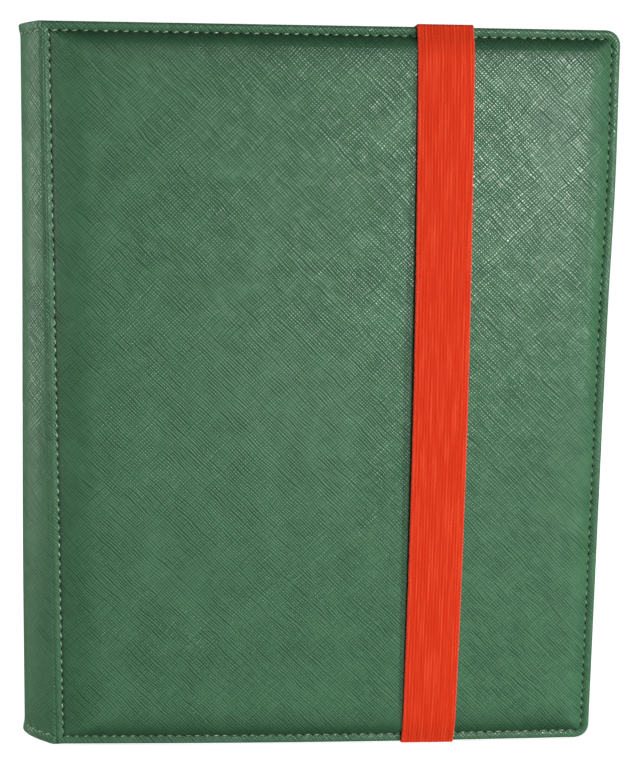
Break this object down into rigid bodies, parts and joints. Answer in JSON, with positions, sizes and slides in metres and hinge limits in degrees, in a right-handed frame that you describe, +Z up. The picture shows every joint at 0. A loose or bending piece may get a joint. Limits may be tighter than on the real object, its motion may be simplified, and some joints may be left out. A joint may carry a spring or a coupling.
{
  "type": "trading card binder",
  "caption": "Padded leatherette card binder with stitched covers, rounded hollow-back spine, bound pocket pages and an elastic strap that holds it shut.",
  "frame": {"origin": "centre of the base of the bounding box of the closed binder standing on its bottom edge", "axes": "+Z up the spine, from the bottom edge to the top edge; +X from the spine to the fore edge; +Y from the front cover to the back cover"},
  "size_m": [0.2652, 0.0384, 0.3274],
  "materials": {
    "leatherette": "cross-hatch embossed, semi-gloss",
    "foam": "soft foam sheet",
    "board": "greyboard",
    "lining": "matt woven lining",
    "thread": "polyester sewing thread",
    "elastic": "ribbed woven elastic",
    "binding": "matt",
    "page_film": "matt divider under clear film"
  },
  "bodies": {
    "back_cover": {"back_cover_skin": "leatherette", "back_cover_foam": "foam", "back_cover_board": "board", "back_cover_lining": "lining", "back_cover_thread": "thread", "strap_top_leg": "elastic", "strap_bottom_leg": "elastic", "strap_top_end": "elastic", "strap_bottom_end": "elastic"},
    "spine": {"spine_skin": "leatherette", "spine_foam": "foam", "spine_stiffener": "board", "spine_board": "board", "spine_lining": "lining", "spine_head_thread": "thread", "spine_foot_thread": "thread", "binding_strip": "binding", "page_roots": "page_film"},
    "front_cover": {"front_cover_skin": "leatherette", "front_cover_foam": "foam", "front_cover_board": "board", "front_cover_lining": "lining", "front_cover_thread": "thread"},
    "strap": {"strap_front": "elastic"},
    "page_01": {"page_01": "page_film"},
    "page_02": {"page_02": "page_film"},
    "page_03": {"page_03": "page_film"},
    "page_04": {"page_04": "page_film"},
    "page_05": {"page_05": "page_film"},
    "page_06": {"page_06": "page_film"},
    "page_07": {"page_07": "page_film"},
    "page_08": {"page_08": "page_film"},
    "page_09": {"page_09": "page_film"},
    "page_10": {"page_10": "page_film"},
    "page_11": {"page_11": "page_film"},
    "page_12": {"page_12": "page_film"},
    "page_13": {"page_13": "page_film"},
    "page_14": {"page_14": "page_film"},
    "page_15": {"page_15": "page_film"},
    "page_16": {"page_16": "page_film"},
    "page_17": {"page_17": "page_film"},
    "page_18": {"page_18": "page_film"},
    "page_19": {"page_19": "page_film"},
    "page_20": {"page_20": "page_film"}
  },
  "joints": [
    {"name": "spine_hinge", "type": "hinge", "parent": "back_cover", "child": "spine", "pos_m": [-0.11544, 0.016, 0.1637], "axis": [0, 0, -1], "range_deg": [0, 90]},
    {"name": "front_cover_hinge", "type": "hinge", "parent": "spine", "child": "front_cover", "pos_m": [-0.11544, -0.016, 0.1637], "axis": [0, 0, -1], "range_deg": [0, 90]},
    {"name": "strap_release", "type": "hinge", "parent": "back_cover", "child": "strap", "pos_m": [0.05796, 0.0006, 0.1637], "axis": [0, 0, 1], "range_deg": [0, 180], "deforming": ["strap_front"]},
    {"name": "page_01_turn", "type": "hinge", "parent": "spine", "child": "page_01", "pos_m": [-0.10889, -0.01045, 0.1637], "axis": [0, 0, -1], "range_deg": [0, 87]},
    {"name": "page_02_turn", "type": "hinge", "parent": "spine", "child": "page_02", "pos_m": [-0.10779, -0.00935, 0.1637], "axis": [0, 0, -1], "range_deg": [0, 85.7]},
    {"name": "page_03_turn", "type": "hinge", "parent": "spine", "child": "page_03", "pos_m": [-0.10669, -0.00825, 0.1637], "axis": [0, 0, -1], "range_deg": [0, 84.4]},
    {"name": "page_04_turn", "type": "hinge", "parent": "spine", "child": "page_04", "pos_m": [-0.10559, -0.00715, 0.1637], "axis": [0, 0, -1], "range_deg": [0, 83.1]},
    {"name": "page_05_turn", "type": "hinge", "parent": "spine", "child": "page_05", "pos_m": [-0.10449, -0.00605, 0.1637], "axis": [0, 0, -1], "range_deg": [0, 81.8]},
    {"name": "page_06_turn", "type": "hinge", "parent": "spine", "child": "page_06", "pos_m": [-0.10339, -0.00495, 0.1637], "axis": [0, 0, -1], "range_deg": [0, 80.5]},
    {"name": "page_07_turn", "type": "hinge", "parent": "spine", "child": "page_07", "pos_m": [-0.10229, -0.00385, 0.1637], "axis": [0, 0, -1], "range_deg": [0, 79.2]},
    {"name": "page_08_turn", "type": "hinge", "parent": "spine", "child": "page_08", "pos_m": [-0.10119, -0.00275, 0.1637], "axis": [0, 0, -1], "range_deg": [0, 77.9]},
    {"name": "page_09_turn", "type": "hinge", "parent": "spine", "child": "page_09", "pos_m": [-0.10009, -0.00165, 0.1637], "axis": [0, 0, -1], "range_deg": [0, 76.6]},
    {"name": "page_10_turn", "type": "hinge", "parent": "spine", "child": "page_10", "pos_m": [-0.09899, -0.00055, 0.1637], "axis": [0, 0, -1], "range_deg": [0, 75.3]},
    {"name": "page_11_turn", "type": "hinge", "parent": "spine", "child": "page_11", "pos_m": [-0.09899, 0.00055, 0.1637], "axis": [0, 0, 1], "range_deg": [0, 75.3]},
    {"name": "page_12_turn", "type": "hinge", "parent": "spine", "child": "page_12", "pos_m": [-0.10009, 0.00165, 0.1637], "axis": [0, 0, 1], "range_deg": [0, 76.6]},
    {"name": "page_13_turn", "type": "hinge", "parent": "spine", "child": "page_13", "pos_m": [-0.10119, 0.00275, 0.1637], "axis": [0, 0, 1], "range_deg": [0, 77.9]},
    {"name": "page_14_turn", "type": "hinge", "parent": "spine", "child": "page_14", "pos_m": [-0.10229, 0.00385, 0.1637], "axis": [0, 0, 1], "range_deg": [0, 79.2]},
    {"name": "page_15_turn", "type": "hinge", "parent": "spine", "child": "page_15", "pos_m": [-0.10339, 0.00495, 0.1637], "axis": [0, 0, 1], "range_deg": [0, 80.5]},
    {"name": "page_16_turn", "type": "hinge", "parent": "spine", "child": "page_16", "pos_m": [-0.10449, 0.00605, 0.1637], "axis": [0, 0, 1], "range_deg": [0, 81.8]},
    {"name": "page_17_turn", "type": "hinge", "parent": "spine", "child": "page_17", "pos_m": [-0.10559, 0.00715, 0.1637], "axis": [0, 0, 1], "range_deg": [0, 83.1]},
    {"name": "page_18_turn", "type": "hinge", "parent": "spine", "child": "page_18", "pos_m": [-0.10669, 0.00825, 0.1637], "axis": [0, 0, 1], "range_deg": [0, 84.4]},
    {"name": "page_19_turn", "type": "hinge", "parent": "spine", "child": "page_19", "pos_m": [-0.10779, 0.00935, 0.1637], "axis": [0, 0, 1], "range_deg": [0, 85.7]},
    {"name": "page_20_turn", "type": "hinge", "parent": "spine", "child": "page_20", "pos_m": [-0.10889, 0.01045, 0.1637], "axis": [0, 0, 1], "range_deg": [0, 87]}
  ],
  "couplings": [
    {"joint": "front_cover_hinge", "follows": "spine_hinge", "ratio": 1},
    {"joint": "strap_release", "follows": "spine_hinge", "ratio": 2},
    {"joint": "page_01_turn", "follows": "spine_hinge", "ratio": 0.96667},
    {"joint": "page_02_turn", "follows": "spine_hinge", "ratio": 0.95222},
    {"joint": "page_03_turn", "follows": "spine_hinge", "ratio": 0.93778},
    {"joint": "page_04_turn", "follows": "spine_hinge", "ratio": 0.92333},
    {"joint": "page_05_turn", "follows": "spine_hinge", "ratio": 0.90889},
    {"joint": "page_06_turn", "follows": "spine_hinge", "ratio": 0.89444},
    {"joint": "page_07_turn", "follows": "spine_hinge", "ratio": 0.88},
    {"joint": "page_08_turn", "follows": "spine_hinge", "ratio": 0.86555},
    {"joint": "page_09_turn", "follows": "spine_hinge", "ratio": 0.85111},
    {"joint": "page_10_turn", "follows": "spine_hinge", "ratio": 0.83667},
    {"joint": "page_11_turn", "follows": "spine_hinge", "ratio": 0.83667},
    {"joint": "page_12_turn", "follows": "spine_hinge", "ratio": 0.85111},
    {"joint": "page_13_turn", "follows": "spine_hinge", "ratio": 0.86555},
    {"joint": "page_14_turn", "follows": "spine_hinge", "ratio": 0.88},
    {"joint": "page_15_turn", "follows": "spine_hinge", "ratio": 0.89444},
    {"joint": "page_16_turn", "follows": "spine_hinge", "ratio": 0.90889},
    {"joint": "page_17_turn", "follows": "spine_hinge", "ratio": 0.92333},
    {"joint": "page_18_turn", "follows": "spine_hinge", "ratio": 0.93778},
    {"joint": "page_19_turn", "follows": "spine_hinge", "ratio": 0.95222},
    {"joint": "page_20_turn", "follows": "spine_hinge", "ratio": 0.96667}
  ]
}
